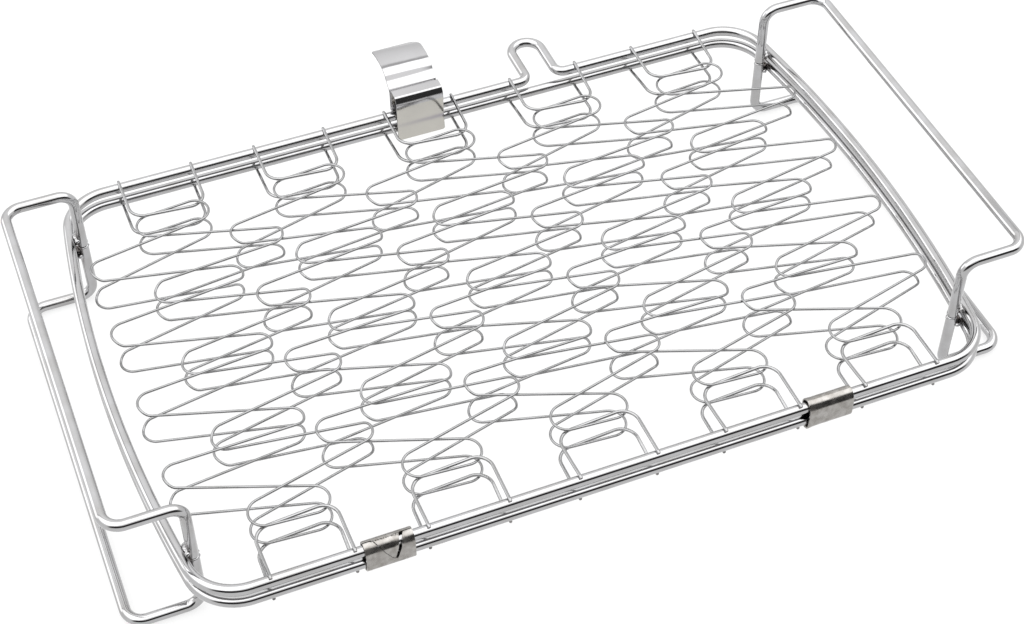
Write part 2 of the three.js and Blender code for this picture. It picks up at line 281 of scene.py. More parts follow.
def carried_normals(along, closed):
    """A normal at each station, carried along the line without twist."""
    normal = along[0].orthogonal().normalized()
    made = [normal]
    for a, b in zip(along, along[1:]):
        normal = a.rotation_difference(b) @ normal
        made.append((normal - normal.dot(b) * b).normalized())
    if closed:
        last = along[-1].rotation_difference(along[0]) @ made[-1]
        twist = math.atan2(last.cross(made[0]).dot(along[0]), last.dot(made[0]))
        made = [Matrix.Rotation(twist * i / len(made), 3, a) @ n for i, (a, n) in enumerate(zip(along, made))]
    return made


# ---- Meshes ----

def new_mesh(name, verts, faces, uvs=None):
    mesh = bpy.data.meshes.new(name)
    mesh.from_pydata([tuple(v) for v in verts], [], faces)
    if uvs:
        layer = mesh.uv_layers.new(name="UVMap")
        for loop in mesh.loops:
            layer.data[loop.index].uv = uvs[loop.vertex_index]
    mesh.shade_smooth()
    mesh.update()
    thing = bpy.data.objects.new(name, mesh)
    bpy.context.scene.collection.objects.link(thing)
    return thing


def ring_faces(rings, sides, closed):
    faces = []
    for i in range(rings if closed else rings - 1):
        a, b = i * sides, (i + 1) % rings * sides
        faces += [(a + k, a + (k + 1) % sides, b + (k + 1) % sides, b + k) for k in range(sides)]
    return faces


def loft(name, rings, closed=False):
    """Skins a row of equal rings of points, with a flat cap on each open end."""
    sides = len(rings[0])
    verts = [p for ring in rings for p in ring]
    faces = ring_faces(len(rings), sides, closed)
    if not closed:
        faces.append(tuple(reversed(range(sides))))
        faces.append(tuple(range(len(verts) - sides, len(verts))))
    lengths = [0.0]
    for a, b in zip(rings, rings[1:]):
        lengths.append(lengths[-1] + (b[0] - a[0]).length)
    uvs = [(k / sides, s) for s in lengths for k in range(sides)]
    return new_mesh(name, verts, faces, uvs)


def tube(name, stations, radius, sides, closed=False, rounding=0.0):
    """A round rod along a line. Open ends are rounded over."""
    along = tangents(stations, closed)
    normals = carried_normals(along, closed)
    rows = [(p, a, n, radius) for p, a, n in zip(stations, along, normals)]
    if not closed:
        start = rounded_end(stations[0], along[0], normals[0], radius, rounding, -1)
        end = rounded_end(stations[-1], along[-1], normals[-1], radius, rounding, 1)
        rows = start + rows[1:-1] + end[::-1]
    rings = [ring_at(p, a, n, r, sides) for p, a, n, r in rows]
    return loft(name, rings, closed)


def rounded_end(point, along, normal, radius, rounding, outward):
    """Rows that round an end over, from the tip inwards."""
    made = []
    for i in range(END_ROWS):
        angle = RIGHT_ANGLE * i / (END_ROWS - 1)
        inset = rounding * (1 - math.cos(angle))
        r = radius - rounding * (1 - math.sin(angle))
        made.append((point - along * outward * inset, along, normal, r))
    return made


def ring_at(point, along, normal, radius, sides):
    side = along.cross(normal)
    angles = [2 * math.pi * k / sides for k in range(sides)]
    return [point + (normal * math.cos(a) + side * math.sin(a)) * radius for a in angles]


def mark(thing, name, values):
    """Stores a value for each vertex, for the materials to read."""
    attribute = thing.data.attributes.new(name, "FLOAT", "POINT")
    attribute.data.foreach_set("value", values)


def join(name, things):
    """Joins meshes into the first of them."""
    with bpy.context.temp_override(active_object=things[0], selected_editable_objects=things):
        bpy.ops.object.join()
    things[0].name = name
    return things[0]


def dress(thing, body, node, material):
    """Gives a piece its material and its place in the frame."""
    thing.data.materials.clear()
    thing.data.materials.append(material)
    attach(thing, body)
    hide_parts(node)
    return thing


# ---- Materials ----

class Nodes:
    """Short forms for making a material's nodes."""

    def __init__(self, name):
        self.material = bpy.data.materials.new(name)
        self.material.use_nodes = True
        self.tree = self.material.node_tree
        self.shader = self.tree.nodes["Principled BSDF"]

    def add(self, kind, **values):
        node = self.tree.nodes.new(kind)
        for key, value in values.items():
            setattr(node, key, value)
        return node

    def link(self, output, target):
        self.tree.links.new(output, target)

    def noise(self, scale, detail=3.0, stretch=(1, 1, 1), place="Object"):
        coords = self.add("ShaderNodeTexCoord")
        mapping = self.add("ShaderNodeMapping")
        mapping.inputs["Scale"].default_value = stretch
        texture = self.add("ShaderNodeTexNoise")
        texture.inputs["Scale"].default_value = scale
        texture.inputs["Detail"].default_value = detail
        self.link(coords.outputs[place], mapping.inputs["Vector"])
        self.link(mapping.outputs["Vector"], texture.inputs["Vector"])
        return texture.outputs["Fac"]

    def spread(self, value, low, high, to_low=0.0, to_high=1.0):
        node = self.add("ShaderNodeMapRange")
        node.inputs["From Min"].default_value = low
        node.inputs["From Max"].default_value = high
        node.inputs["To Min"].default_value = to_low
        node.inputs["To Max"].default_value = to_high
        self.link(value, node.inputs["Value"])
        return node.outputs["Result"]

    def mix(self, factor, a, b):
        node = self.add("ShaderNodeMix", data_type="RGBA")
        self.link(factor, node.inputs["Factor"])
        for value, socket in ((a, node.inputs["A"]), (b, node.inputs["B"])):
            if isinstance(value, tuple):
                socket.default_value = (*value, 1)
            else:
                self.link(value, socket)
        return node.outputs["Result"]

    def blend(self, factor, a, b):
        node = self.add("ShaderNodeMix", data_type="FLOAT")
        self.link(factor, node.inputs["Factor"])
        for value, socket in ((a, node.inputs["A"]), (b, node.inputs["B"])):
            if isinstance(value, (int, float)):
                socket.default_value = value
            else:
                self.link(value, socket)
        return node.outputs["Result"]

    def attribute(self, name):
        node = self.add("ShaderNodeAttribute", attribute_name=name)
        return node.outputs["Fac"]

    def bump(self, height, strength, distance, under=None):
        node = self.add("ShaderNodeBump")
        node.inputs["Strength"].default_value = strength
        node.inputs["Distance"].default_value = distance
        self.link(height, node.inputs["Height"])
        if under:
            self.link(under, node.inputs["Normal"])
        return node.outputs["Normal"]

    def feed(self, color=None, roughness=None, normal=None):
        for value, key in ((color, "Base Color"), (roughness, "Roughness"), (normal, "Normal")):
            if value is not None:
                self.link(value, self.shader.inputs[key])


def metal(name, bright, dull, smooth, rough, waves, burnt=False):
    """Drawn and polished steel: fine drawn lines, slow waves from bending and a thin, uneven film."""
    made = Nodes(name)
    made.shader.inputs["Metallic"].default_value = 1.0
    film = made.noise(90, 4)
    lines = made.noise(1, 2, (60, 900, 1), "UV")
    color = made.mix(made.spread(film, 0.35, 0.7), bright, dull)
    roughness = made.spread(film, 0.3, 0.75, smooth, rough)
    slow = made.bump(made.noise(28, 1), 0.25, waves)
    fine = made.bump(lines, 0.05, 0.02 * MM, slow)
    if burnt:
        burn = made.attribute("burn")
        specks = made.spread(made.noise(900, 3), 0.35, 0.6)
        scorch = made.mix(specks, (0.018, 0.015, 0.014), (0.26, 0.235, 0.225))
        color = made.mix(burn, color, scorch)
        roughness = made.blend(burn, roughness, 0.55)
    made.feed(color, roughness, fine)
    return made.material


def satin_sheet():
    """Rolled sheet with a mottled, half-polished face."""
    made = Nodes("mottled_sheet")
    made.shader.inputs["Metallic"].default_value = 1.0
    cloud = made.noise(260, 5)
    grain = made.noise(1500, 3, (0.25, 1, 1))
    stain = made.spread(made.noise(330, 3, (1, 1, 0.35)), 0.5, 0.72, 0.0, 0.6)
    color = made.mix(made.spread(cloud, 0.38, 0.66), (0.37, 0.358, 0.343), (0.26, 0.247, 0.232))
    color = made.mix(stain, color, (0.2, 0.185, 0.165))
    roughness = made.spread(cloud, 0.3, 0.7, 0.16, 0.34)
    made.feed(color, roughness, made.bump(grain, 0.12, 0.05 * MM, made.bump(cloud, 0.3, 0.12 * MM)))
    return made.material


def bright_sheet():
    """Pressed sheet with a nearly mirror face and faint pressing marks in its bump, a painted reflection tone
    on its front wall and painted shade along the crease above the lip.
    """
    made = Nodes("pressed_sheet")
    made.shader.inputs["Metallic"].default_value = 1.0
    cloud = made.noise(60, 3)
    grain = made.noise(1200, 2, (1, 0.2, 0.2))
    film = made.spread(cloud, 0.3, 0.7)
    color = made.mix(film, (0.45, 0.447, 0.455), (0.42, 0.415, 0.42))
    # Painted reflection: the front wall and its lip get a lighter, warmer tone than the rest of the same
    # sheet.
    plate_reflection_tone = made.mix(film, (0.505, 0.49, 0.452), (0.47, 0.457, 0.425))
    color = made.mix(made.attribute("plate_reflection_tone"), color, plate_reflection_tone)
    # Painted shade: the crease above the lip is darkened towards a blue grey.
    color = made.mix(made.attribute("crease"), color, (0.33, 0.315, 0.335))
    edge = made.attribute("edge")
    color = made.mix(edge, color, (0.17, 0.17, 0.175))
    roughness = made.blend(edge, made.spread(cloud, 0.3, 0.7, 0.05, 0.11), 0.4)
    made.feed(color, roughness, made.bump(grain, 0.06, 0.03 * MM, made.bump(cloud, 0.3, 0.2 * MM)))
    return made.material


# Each metal: name, bright and dull colour, smoothest and roughest, depth of its waves, and if welds burn it.
MATERIALS = {
    "rod": metal("polished_rod", (0.45, 0.45, 0.458), (0.385, 0.38, 0.378), 0.05, 0.13, 0.25 * MM, True),
    "spring": metal("spring_wire", (0.30, 0.30, 0.305), (0.245, 0.245, 0.245), 0.14, 0.24, 0.05 * MM),
    "hook": metal("hook_wire", (0.34, 0.34, 0.345), (0.28, 0.28, 0.28), 0.12, 0.2, 0.05 * MM, True),
    "sleeve": satin_sheet(),
    "latch": bright_sheet(),
}


# ---- Frames ----

END_CENTRE_X = CROWN_X - END_RADIUS
CORNER_Y = HALF_DEPTH - CORNER_RADIUS
CORNER_X = END_CENTRE_X + math.sqrt((END_RADIUS - CORNER_RADIUS) ** 2 - CORNER_Y ** 2)
END_ANGLE = math.atan2(CORNER_Y, CORNER_X - END_CENTRE_X)


def frame_end(side):
    """One half turn of a frame, from the front rail to the back rail: corner, bowed end, corner."""
    facing = 0 if side > 0 else math.pi
    front, back = facing - side * END_ANGLE, facing + side * END_ANGLE
    return [
        *arc(side * CORNER_X, -CORNER_Y, CORNER_RADIUS, facing - side * RIGHT_ANGLE, front, BEND_STEPS),
        *arc(side * END_CENTRE_X, 0, END_RADIUS, front, back, END_STEPS)[1:-1],
        *arc(side * CORNER_X, CORNER_Y, CORNER_RADIUS, back, facing + side * RIGHT_ANGLE, BEND_STEPS),
    ]


def finger_loop():
    """The loop in the back rail, met while running from +X to -X."""
    half = LOOP_WIDTH / 2
    shoulder = half + LOOP_FILLET
    rail = HALF_DEPTH
    return [
        *arc(LOOP_X + shoulder, rail + LOOP_FILLET, LOOP_FILLET, -RIGHT_ANGLE, -math.pi, BEND_STEPS),
        *arc(LOOP_X, rail + LOOP_REACH - half, half, 0, math.pi, 2 * BEND_STEPS),
        *arc(LOOP_X - shoulder, rail + LOOP_FILLET, LOOP_FILLET, 0, -RIGHT_ANGLE, BEND_STEPS),
    ]


def build_frame(half, with_loop):
    outline = [Vector((0, -HALF_DEPTH)), *frame_end(1), *(finger_loop() if with_loop else []),
               *reversed(frame_end(-1))]
    stations = [Vector((p.x, p.y + MIDDLE_Y, RAIL_Z[half])) for p in outline]
    rod = tube(f"{half}_frame_rod", divided(stations, RAIL_STEP, True), ROD_RADIUS, ROD_SIDES, True)
    mark(rod, "burn", [burn_near_handles(v.co) for v in rod.data.vertices])
    dress(rod, f"{half}_half", f"{half}_frame", MATERIALS["rod"])


# ---- Handles ----

def weld_places():
    """Where the handle legs touch the frames, halfway between the two frames."""
    made = []
    for side, name in ((-1, "left"), (1, "right")):
        low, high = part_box(f"upper_handle_{name}")
        leg_side = low.x if side > 0 else high.x
        x = leg_side + side * 2 * ROD_RADIUS
        middle_z = (RAIL_Z["upper"] + RAIL_Z["lower"]) / 2
        made += [Vector((x, y, middle_z)) for y in (low.y + ROD_RADIUS, high.y - ROD_RADIUS)]
    return made


WELDS = weld_places()


def burn_near_handles(point):
    """How scorched the steel is, from the distance to the nearest weld."""
    ways = [point - weld for weld in WELDS]
    nearest = min(Vector((w.x, w.y, max(0, abs(w.z) - BURN_SPAN))).length for w in ways)
    ragged = noise.noise(point * 700) * BURN_RAGGED
    return max(0.0, min(1.0, (BURN_REACH - nearest - ragged) / BURN_FADE))


def build_handle(half, side, name):
    node = f"{half}_handle_{name}"
    low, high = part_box(node)
    up = 1 if half == "upper" else -1
    leg_side, grip_side = (low.x, high.x) if side > 0 else (high.x, low.x)
    foot_z, grip_top = (low.z, high.z) if up > 0 else (high.z, low.z)
    leg_x = leg_side + side * ROD_RADIUS
    grip_x = grip_side - side * ROD_RADIUS
    grip_z = grip_top - up * ROD_RADIUS
    leg_y = (high.y - low.y) / 2 - ROD_RADIUS
    leg_bend = arc(LEG_BEND, -LEG_BEND, LEG_BEND, math.pi, RIGHT_ANGLE, BEND_STEPS)
    reach = abs(grip_x - leg_x)
    grip_bend = arc(reach - GRIP_BEND, leg_y - GRIP_BEND, GRIP_BEND, RIGHT_ANGLE, 0, BEND_STEPS)
    line = [Vector((leg_x, leg_y, foot_z))]
    line += [Vector((leg_x + side * p.x, leg_y, grip_z + up * p.y)) for p in leg_bend]
    line += [Vector((leg_x + side * p.x, p.y, grip_z)) for p in grip_bend]
    line += [Vector((p.x, -p.y, p.z)) for p in reversed(line)]
    stations = [p + Vector((0, MIDDLE_Y, 0)) for p in divided(line, RAIL_STEP)]
    rod = tube(f"{node}_bar", stations, ROD_RADIUS, ROD_SIDES, rounding=HANDLE_END_ROUNDING)
    feet = [Vector((leg_x, MIDDLE_Y + s * leg_y, RAIL_Z[half])) for s in (-1, 1)]
    beads = [bead for foot in feet for bead in weld_beads(node, foot, side, up)]
    thing = join(f"{node}_rod", [rod, *beads])
    mark(thing, "burn", [burn_near_handles(v.co) for v in thing.data.vertices])
    dress(thing, f"{half}_half", node, MATERIALS["rod"])


def weld_beads(name, foot, side, up):
    """Lumps of weld metal between a leg and the frame rod beside it, and one on the leg's end."""
    made = []
    for out, along, rise, half_sizes in WELD_LUMPS:
        place = foot + Vector((side * out, along, up * rise)) * MM
        made.append(bead(f"{name}_bead", place, [s * MM for s in half_sizes]))
    return made


def bead(name, place, half_sizes):
    """A lump of weld metal: an uneven ball, drawn out to its half sizes."""
    rows = []
    for i in range(1, BEAD_RINGS):
        angle = math.pi * i / BEAD_RINGS
        row = []
        for k in range(BEAD_SIDES):
            around = 2 * math.pi * k / BEAD_SIDES
            flat = math.sin(angle)
            unit = Vector((flat * math.cos(around), flat * math.sin(around), math.cos(angle)))
            lump = 1 + LUMP_UNEVENNESS * noise.noise(unit * LUMP_GRAIN + place * 900)
            row.append(place + Vector([u * h * lump for u, h in zip(unit, half_sizes)]))
        rows.append(row)
    return loft(name, rows[::-1])


# ---- Mesh: hooks and springs ----

def hook_line():
    """A hook for the back rail, whose centre line is at y = 0: tail, leg, crossbar, leg, tail."""
    crest = ROD_RADIUS + HOOK_WIRE_RADIUS
    half = HOOK_WIDTH / 2
    start, end = RIGHT_ANGLE - HOOK_TAIL_ANGLE, RIGHT_ANGLE - HOOK_LEAD_ANGLE
    tail = arc(0, 0, crest, start, end, 8)
    corner = arc(half - HOOK_CORNER, HOOK_CORNER - HOOK_REACH, HOOK_CORNER, 0, -RIGHT_ANGLE, 12)

    def leg(side):
        height = MESH_RISE - side * WEAVE
        ramp = Vector((side * half, -HOOK_REACH * HOOK_RAMP_SHARE, (height + crest) / 2))
        return [
            *[Vector((side * half, p.x, p.y)) for p in tail],
            ramp,
            *[Vector((side * p.x, p.y, height)) for p in corner],
        ]

    return leg(-1) + leg(1)[::-1]


HOOK_LINE = hook_line()


def build_hook(half, place, number):
    """place is "back" or "front". Lower hooks are upper ones turned over."""
    node = f"{half}_{place}_hook_{number}"
    turn = HALF_TURN if (place == "front") == (half == "upper") else Matrix.Identity(4)
    turn = (TURNED_OVER if half == "lower" else Matrix.Identity(4)) @ turn
    rail = Vector((COLUMN_X[number - 1], BACK_Y if place == "back" else FRONT_Y, RAIL_Z[half]))
    lean = random.Random(node).uniform(-HOOK_LEAN, HOOK_LEAN)
    stations = [rail + turn @ bent(p, lean) for p in HOOK_LINE]
    wire = tube(f"{node}_wire", stations, HOOK_WIRE_RADIUS, WIRE_SIDES, rounding=HOOK_END_ROUNDING)
    tips = (stations[0], stations[-1])
    mark(wire, "burn", [burn_near_tips(v.co, tips) for v in wire.data.vertices])
    dress(wire, f"{half}_half", node, MATERIALS["hook"])


def burn_near_tips(point, tips):
    """How dark the spot weld under a hook's tip has left the wire."""
    nearest = min((point - tip).length for tip in tips)
    return max(0.0, min(1.0, TIP_BURN - nearest / TIP_BURN_REACH))


def bent(point, lean):
    """Leans a hook's crossbar a little to one side."""
    return point + Vector((lean * min(0.0, point.y) / -HOOK_REACH, 0, 0))


HELD_Y = HALF_DEPTH - HOOK_REACH + HOOK_WIRE_RADIUS + SPRING_WIRE_RADIUS + HELD_GAP


def zigzag(side, shift, draw):
    """Turns of one side of a loop, as (x, y, radius, sense, height in, height out)."""
    turns = []
    for row in range(LAST_ROW + 1):
        outer = row % 2 == 1
        at_hook = row in (0, LAST_ROW)
        radius = END_TURN_RADIUS if at_hook else TURN_RADIUS + draw.uniform(-1, 1) * RADIUS_WANDER
        inner = END_TURN_REACH if at_hook else INNER_REACH
        y = (HELD_Y - END_TURN_RADIUS) * (1 - 2 * row / LAST_ROW)
        wander = 0 if at_hook else TURN_WANDER
        x = side * (OUTER_REACH - radius) if outer else -side * (inner - radius)
        x += draw.uniform(-1, 1) * wander
        y = (y * OUTER_PITCH_SHARE + shift if outer else y) + draw.uniform(-1, 1) * wander
        sense = 1 if outer else -1
        turns.append([x, y, radius, sense, sense * WEAVE, -sense * WEAVE])
    if side > 0:
        turns.reverse()
    turns[0][4] = turns[0][5]
    turns[-1][5] = turns[-1][4]
    return turns


def heading(a, b):
    """Heading of the straight that leaves turn a and is tangent to turn b."""
    dx, dy = b[0] - a[0], b[1] - a[1]
    across = (a[3] * a[2] - b[3] * b[2]) / math.hypot(dx, dy)
    return math.atan2(dy, dx) + math.asin(across)


def turn_stations(before, turn, after):
    """Points round one turn, whose height changes in its last stretch."""
    x, y, radius, sense, height_in, height_out = turn
    into, out = heading(before, turn), heading(turn, after)
    swing = (sense * (out - into)) % (2 * math.pi)
    start = into - sense * RIGHT_ANGLE
    points = arc(x, y, radius, start, start + sense * swing, BEND_STEPS)
    made = []
    for i, p in enumerate(points):
        share = max(0.0, (i / (len(points) - 1) - 1 + HEIGHT_CHANGE) / HEIGHT_CHANGE)
        smooth = share * share * (3 - 2 * share)
        made.append(Vector((p.x, p.y, height_in + (height_out - height_in) * smooth)))
    return made


def build_spring(half, number):
    node = f"{half}_spring_{number}"
    draw = random.Random(node)
    shifts = UPPER_SHIFTS if half == "upper" else LOWER_SHIFTS
    turns = zigzag(-1, shifts[0], draw) + zigzag(1, shifts[1], draw)
    line = []
    for i, turn in enumerate(turns):
        line += turn_stations(turns[i - 1], turn, turns[(i + 1) % len(turns)])
    over = TURNED_OVER if half == "lower" else Matrix.Identity(4)
    rise = MESH_RISE if half == "upper" else -MESH_RISE
    place = Vector((COLUMN_X[number - 1], MIDDLE_Y, RAIL_Z[half] + rise))
    stations = [place + over @ p for p in line]
    wire = tube(f"{node}_wire", stations, SPRING_WIRE_RADIUS, SPRING_SIDES, True)
    dress(wire, f"{half}_half", node, MATERIALS["spring"])


# ---- Hinge sleeves ----

def sleeve_outline():
    """Middle line of a sleeve's sheet round both rails, as (out from the rails, up from between them).

    It starts at the crest and runs backwards, down, under and up the front, whose top is pressed flat.
    """
    radius = ROD_CORNER + SLEEVE_CLEARANCE + SHEET / 2
    half = RAIL_SPACING / 2
    tilt = SLEEVE_FACET_TILT
    top = 2 * radius - SLEEVE_FACET * math.sin(tilt)
    bend = top / 2
    low_bend = arc(bend - radius, half, bend, math.pi, math.pi - tilt, 6)
    step = Vector((math.sin(tilt), math.cos(tilt))) * SLEEVE_FACET
    over = [p + step for p in arc(bend - radius, half, bend, math.pi - tilt, RIGHT_ANGLE, 10)]
    sink = Vector((0, half + radius - over[-1].y))
    back = arc(0, half, radius, RIGHT_ANGLE, 0, 16)
    under = arc(0, -half, radius, 0, -math.pi, 32)
    front = [p + sink for p in low_bend + over]
    return [Vector((front[-1].x, half + radius)), *back, *under, *front]


class Outline:
    """A closed line that is read by the distance along it."""

    def __init__(self, points):
        self.points = points + [points[0]]
        self.lengths = [0.0]
        for a, b in zip(self.points, self.points[1:]):
            self.lengths.append(self.lengths[-1] + (b - a).length)
        self.total = self.lengths[-1]

    def at(self, distance):
        """The point and outward normal at a distance."""
        place = distance % self.total
        index = bisect.bisect_right(self.lengths, place, 1, len(self.lengths) - 1) - 1
        a, b = self.points[index], self.points[index + 1]
        way = self.way(index)
        share = (place - self.lengths[index]) / max((b - a).length, 1e-9)
        before, after = self.way(index - 1), self.way(index + 1)
        turned = before.lerp(way, 0.5 + share) if share < 0.5 else way.lerp(after, share - 0.5)
        turned.normalize()
        return a.lerp(b, share), Vector((-turned.y, turned.x))

    def way(self, index):
        """Direction of the stretch that begins at a point."""
        index %= len(self.points) - 1
        return (self.points[index + 1] - self.points[index]).normalized()


SLEEVE = Outline([p for p, q in zip(sleeve_outline(), sleeve_outline()[1:]) if (p - q).length > 1e-7])


def tongue(x, left, right, depth):
    """Where a tongue's edge lies along the sleeve's outline. Its tip points down the front."""
    root = SEAM_ANGLE * (ROD_CORNER + SLEEVE_CLEARANCE)
    from_tip = x - TONGUE_TIP_SHIFT
    share = max(0.0, 1 - abs(from_tip) / (left if from_tip < 0 else right))
    near_tip = max(0.0, (share - TONGUE_ROUND_FROM) / (1 - TONGUE_ROUND_FROM))
    rounded = share - TONGUE_ROUNDING * near_tip ** 2
    return root - (root + depth) * rounded / (1 - TONGUE_ROUNDING)


def tongue_seam(x):
    """Start and end of the left sleeve's sheet: a pointed tongue, and the wider notch that it lies in."""
    depth = RIGHT_ANGLE * (ROD_CORNER + SLEEVE_CLEARANCE) + RAIL_SPACING / 2 + TONGUE_PAST_MIDDLE
    start = tongue(x, TONGUE_LEFT, TONGUE_RIGHT, depth)
    notch_left = TONGUE_LEFT + NOTCH_LEFT + NOTCH_SHIFT
    end = tongue(x - NOTCH_SHIFT, notch_left, TONGUE_RIGHT + NOTCH_RIGHT, depth + NOTCH_DEEPER)
    return start, min(end, start) - SEAM_GAP


def under_seam(_x):
    """The right sleeve's seam runs straight along its underside."""
    return SLEEVE.total / 2, SLEEVE.total / 2 - SEAM_GAP


def flared(point, x, half_width, opening):
    """Opens a sleeve's left end a little, upwards and downwards only."""
    near = max(0.0, 1 - (x + half_width) / FLARE_LENGTH)
    return point + Vector((0, opening * near * near * (FLARE_TOP_SHARE if point.y > 0 else -1)))


def build_sleeve(node, seam, opening):
    low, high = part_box(node)
    centre = (low + high) / 2
    half_width = (high.x - low.x) / 2
    grid = []
    for i in range(SLEEVE_COLUMNS + 1):
        x = -half_width + 2 * half_width * i / SLEEVE_COLUMNS
        start, end = seam(x)
        edge = min(half_width - abs(x), EDGE_ROUNDING) / EDGE_ROUNDING
        row = []
        for k in range(SLEEVE_ROWS + 1):
            point, normal = SLEEVE.at(start + (SLEEVE.total + end - start) * k / SLEEVE_ROWS)
            row.append((flared(point, x, half_width, opening), normal, x, edge))
        grid.append(row)
    thing = sheet_solid(f"{node}_sheet", grid, centre)
    dress(thing, "hinge_clips", node, MATERIALS["sleeve"])


def sheet_solid(name, grid, centre):
    """A closed sheet from a grid of middle points and normals, thinned a little along its side edges."""
    verts, faces = [], []
    rows, cols = len(grid), len(grid[0])
    for face in (1, -1):
        for row in grid:
            for point, normal, x, edge in row:
                thickness = EDGE_THICKNESS_SHARE + (1 - EDGE_THICKNESS_SHARE) * math.sqrt(edge)
                yz = point + normal * face * SHEET / 2 * thickness
                verts.append(centre + Vector((x, yz.x, yz.y)))
    under = rows * cols

    def at(i, k, face):
        return i * cols + k + (0 if face > 0 else under)

    for i in range(rows - 1):
        for k in range(cols - 1):
            faces.append((at(i, k, 1), at(i, k + 1, 1), at(i + 1, k + 1, 1), at(i + 1, k, 1)))
            faces.append((at(i, k, -1), at(i + 1, k, -1), at(i + 1, k + 1, -1), at(i, k + 1, -1)))
    top, end = rows - 1, cols - 1
    for i in range(top):
        faces.append((at(i, 0, 1), at(i + 1, 0, 1), at(i + 1, 0, -1), at(i, 0, -1)))
        faces.append((at(i, end, 1), at(i, end, -1), at(i + 1, end, -1), at(i + 1, end, 1)))
    for k in range(end):
        faces.append((at(0, k, 1), at(0, k, -1), at(0, k + 1, -1), at(0, k + 1, 1)))
        faces.append((at(top, k, 1), at(top, k + 1, 1), at(top, k + 1, -1), at(top, k, -1)))
    uvs = [(v.x, v.y + v.z) for v in verts]
    thing = new_mesh(name, verts, faces, uvs)
    thing.data.flip_normals()  # the outline runs clockwise, so its faces were made facing inwards
    sharpen(thing, SLEEVE_SHARP_ANGLE)
    return thing


def sharpen(thing, degrees):
    """Keeps the edges of a sheet crisp under smooth shading."""
    thing.data.set_sharp_from_angle(angle=math.radians(degrees))


# ---- Latch ----

def latch_top(inner, outer):
    """The top over the rails, from inner wall to outer wall: bend, slanting facet, bend, flat, bend."""
    tilt = LATCH_FACET_TILT
    first, second, third = LATCH_FACET_BENDS
    top = LATCH_HEADROOM + LATCH_BEND
    foot = top - first * math.sin(tilt) - LATCH_FACET * math.cos(tilt) - second * (1 - math.sin(tilt))
    start = arc(inner + first, foot, first, math.pi, math.pi - tilt, 6)
    facet_end = start[-1] + Vector((math.sin(tilt), math.cos(tilt))) * LATCH_FACET
    middle_x = facet_end.x + second * math.cos(tilt)
    over = arc(middle_x, top - second, second, math.pi - tilt, RIGHT_ANGLE, 8)
    end = arc(outer - third, top - third, third, RIGHT_ANGLE, 0, 10)
    return start + over + end


def tab_line(start, end):
    """The riser's upper end and the thumb tab, which leans back, sags a little and curls over."""
    points = [Vector((0, 0))]
    for i in range(TAB_PARTS):
        along = (i + 0.5) / TAB_PARTS * TAB_TILTS[-1][0]
        a, b = next((a, b) for a, b in zip(TAB_TILTS, TAB_TILTS[1:]) if along <= b[0])
        tilt = math.radians(a[1] + (b[1] - a[1]) * (along - a[0]) / (b[0] - a[0]))
        points.append(points[-1] + Vector((math.sin(tilt), math.cos(tilt))))
    miss = [(end - start)[k] / points[-1][k] for k in range(2)]
    return [start + Vector((p.x * miss[0], p.y * miss[1])) for p in points]


def latch_line():
    """Middle line of the sheet, as (out from the rails, up from the upper rail).

    It runs from the lip up the inner wall, over the top and down the outer wall. A tight turn behind the rail
    leads up the riser and along the thumb tab.
    """
    wall = ROD_CORNER + LATCH_GAP + SHEET / 2
    outer_top = 2 * LATCH_BEND - wall
    turn_x = wall + LATCH_TURN
    riser = turn_x + LATCH_TURN
    crease = Vector((-wall, -RAIL_SPACING / 2))
    lip = Vector((-wall - LATCH_LIP_FLARE, -RAIL_SPACING - LATCH_LIP_DROP))
    soft_crease = [
        crease.lerp(lip, LATCH_CREASE / (lip - crease).length),
        crease,
        crease + Vector((0, LATCH_CREASE)),
    ]
    line = [
        lip,
        *catmull(soft_crease, 6),
        *latch_top(-wall, outer_top),
        *arc(turn_x, 0, LATCH_TURN, math.pi, 2 * math.pi, 14),
        *tab_line(Vector((riser, TAB_FOOT)), Vector((riser, 0)) + TAB_END),
    ]
    return divided(line, LATCH_STEP)


def rounded_section(half_width, half_thick, radius, steps=3):
    """Corners of a sheet's section, as (across, through)."""
    made = []
    for i, (sx, sy) in enumerate(((1, 1), (-1, 1), (-1, -1), (1, -1))):
        centre = (sx * (half_width - radius), sy * (half_thick - radius))
        made += arc(*centre, radius, RIGHT_ANGLE * i, RIGHT_ANGLE * (i + 1), steps)
    return made


def build_latch():
    """The sheet swept along its line, with one large round corner at the tab's right end."""
    low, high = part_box("latch_clip")
    half_width = (high.x - low.x) / 2
    centre_x = (high.x + low.x) / 2
    line = [Vector((centre_x, BACK_Y + p.x, RAIL_Z["upper"] + p.y)) for p in latch_line()]
    along = tangents(line, False)
    lengths = [0.0]
    for a, b in zip(line, line[1:]):
        lengths.append(lengths[-1] + (b - a).length)
    rings, edges = [], []
    for point, way, length in zip(line, along, lengths):
        to_end = lengths[-1] - length
        left_cut = corner_cut(to_end, LATCH_END_CORNER) + corner_cut(length, LATCH_END_CORNER)
        right_cut = max(corner_cut(to_end, TAB_CORNER), left_cut)
        normal = way.cross(Vector((1, 0, 0)))
        half = half_width - (left_cut + right_cut) / 2
        shift = (left_cut - right_cut) / 2
        section = rounded_section(half, SHEET / 2, LATCH_CORNER)
        edges += [float(abs(p.x) > half - LATCH_CUT_EDGE) for p in section]
        rings.append([point + Vector((p.x + shift, 0, 0)) + normal * p.y for p in section])
    thing = loft("latch_clip_sheet", rings)
    sharpen(thing, LATCH_SHARP_ANGLE)
    mark(thing, "edge", edges)
    # The plate mask carries a painted reflection tone on the front wall and its lip.
    mark(thing, "plate_reflection_tone", [on_plate(v.co) for v in thing.data.vertices])
    # The crease mask carries painted shade along the bend above the lip.
    mark(thing, "crease", [crease_painted_shade(v.co, low.x, high.x) for v in thing.data.vertices])
    dress(thing, "latch", "latch_clip", MATERIALS["latch"])


